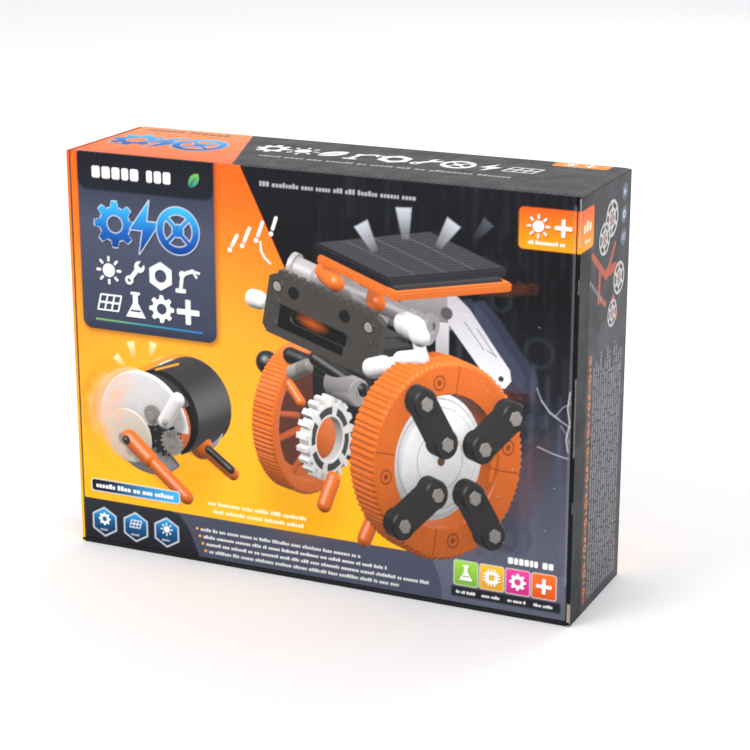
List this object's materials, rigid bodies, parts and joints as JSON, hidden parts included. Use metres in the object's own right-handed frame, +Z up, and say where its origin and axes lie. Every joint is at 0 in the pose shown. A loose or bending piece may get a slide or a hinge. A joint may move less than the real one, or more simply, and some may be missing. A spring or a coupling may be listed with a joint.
{
  "type": "solar robot kit",
  "caption": "Boxed robot construction kit: a tuck-front corrugated carton with a hinged lid, holding a formed tray of ring wheels, link arms, a solar module and a geared motor.",
  "frame": {"origin": "middle of the carton footprint, on the surface it stands on", "axes": "+X to the right along the carton seen from the front, +Y to the back (the printed front faces -Y), +Z up"},
  "size_m": [0.26, 0.07, 0.2],
  "materials": {
    "printed_board": "glossy litho-laminated corrugated board, white-lined inside",
    "booklet_paper": "coated paper",
    "tray_plastic": "vacuum-formed sheet, satin",
    "orange_plastic": "injection-moulded, semi-gloss",
    "white_plastic": "injection-moulded, semi-gloss",
    "black_plastic": "injection-moulded, fine texture",
    "grey_plastic": "injection-moulded, fine texture",
    "smoke_plastic": "injection-moulded, fine texture",
    "solar_cell": "resin-coated silicon cells",
    "motor_steel": "drawn steel can"
  },
  "bodies": {
    "root": {"axle_spool_1": "grey_plastic", "axle_spool_2": "grey_plastic", "back_panel": "printed_board", "bottom_wall": "printed_board", "elbow_arm_1": "white_plastic", "elbow_arm_2": "white_plastic", "face_plate": "black_plastic", "foot_1": "orange_plastic", "foot_2": "orange_plastic", "gearbox_front_shell": "smoke_plastic", "gearbox_rear_shell": "grey_plastic", "hex_pin_1": "grey_plastic", "hex_pin_2": "grey_plastic", "hex_pin_3": "grey_plastic", "hex_pin_4": "grey_plastic", "hex_pin_5": "grey_plastic", "hex_pin_6": "grey_plastic", "hex_pin_7": "grey_plastic", "hex_pin_8": "grey_plastic", "hub_disc_a": "white_plastic", "hub_disc_b": "white_plastic", "instruction_booklet": "booklet_paper", "left_side_wall": "printed_board", "link_arm_1": "black_plastic", "link_arm_2": "black_plastic", "link_arm_3": "black_plastic", "link_arm_4": "black_plastic", "link_arm_5": "black_plastic", "link_arm_6": "black_plastic", "link_arm_7": "black_plastic", "link_arm_8": "black_plastic", "motor_can": "motor_steel", "parts_tray": "tray_plastic", "rear_bracket_1": "white_plastic", "rear_bracket_2": "white_plastic", "right_side_wall": "printed_board", "ring_a_segment_1": "orange_plastic", "ring_a_segment_2": "orange_plastic", "ring_a_segment_3": "orange_plastic", "ring_a_segment_4": "orange_plastic", "ring_b_segment_1": "orange_plastic", "ring_b_segment_2": "orange_plastic", "ring_b_segment_3": "orange_plastic", "ring_b_segment_4": "orange_plastic", "solar_cell_panel": "solar_cell", "solar_frame": "orange_plastic", "solar_housing": "smoke_plastic", "sprocket_wheel": "white_plastic", "top_wall": "printed_board"},
    "lid": {"lid_panel": "printed_board"},
    "tuck_flap": {"lid_tuck_flap": "printed_board"},
    "ear_left": {"left_ear": "printed_board"},
    "ear_right": {"right_ear": "printed_board"},
    "output": {"output_gear": "orange_plastic"},
    "idler": {"idler_gear": "white_plastic"},
    "pinion": {"motor_pinion": "white_plastic"}
  },
  "joints": [
    {"name": "lid_hinge", "type": "hinge", "parent": "root", "child": "lid", "pos_m": [0, -0.035, 0.2], "axis": [-1, 0, 0], "range_deg": [0, 250]},
    {"name": "tuck_crease", "type": "hinge", "parent": "lid", "child": "tuck_flap", "pos_m": [0, -0.0335, 0.0035], "axis": [-1, 0, 0], "range_deg": [0, 50]},
    {"name": "left_ear_crease", "type": "hinge", "parent": "lid", "child": "ear_left", "pos_m": [-0.1279, -0.0332, 0.1], "axis": [0, 0, 1], "range_deg": [0, 14.5]},
    {"name": "right_ear_crease", "type": "hinge", "parent": "lid", "child": "ear_right", "pos_m": [0.1279, -0.0332, 0.1], "axis": [0, 0, -1], "range_deg": [0, 14.5]},
    {"name": "output_spin", "type": "hinge", "parent": "root", "child": "output", "pos_m": [0, -0.012, 0.174], "axis": [0, -1, 0], "continuous": true},
    {"name": "idler_spin", "type": "hinge", "parent": "root", "child": "idler", "pos_m": [0, -0.012, 0.157], "axis": [0, -1, 0], "continuous": true},
    {"name": "pinion_spin", "type": "hinge", "parent": "root", "child": "pinion", "pos_m": [0, -0.012, 0.14], "axis": [0, -1, 0], "continuous": true}
  ],
  "couplings": [
    {"joint": "tuck_crease", "follows": "lid_hinge", "ratio": 0.2},
    {"joint": "left_ear_crease", "follows": "lid_hinge", "ratio": 0.058},
    {"joint": "right_ear_crease", "follows": "lid_hinge", "ratio": 0.058},
    {"joint": "idler_spin", "follows": "output_spin", "ratio": -2.4},
    {"joint": "pinion_spin", "follows": "output_spin", "ratio": 5.76}
  ]
}
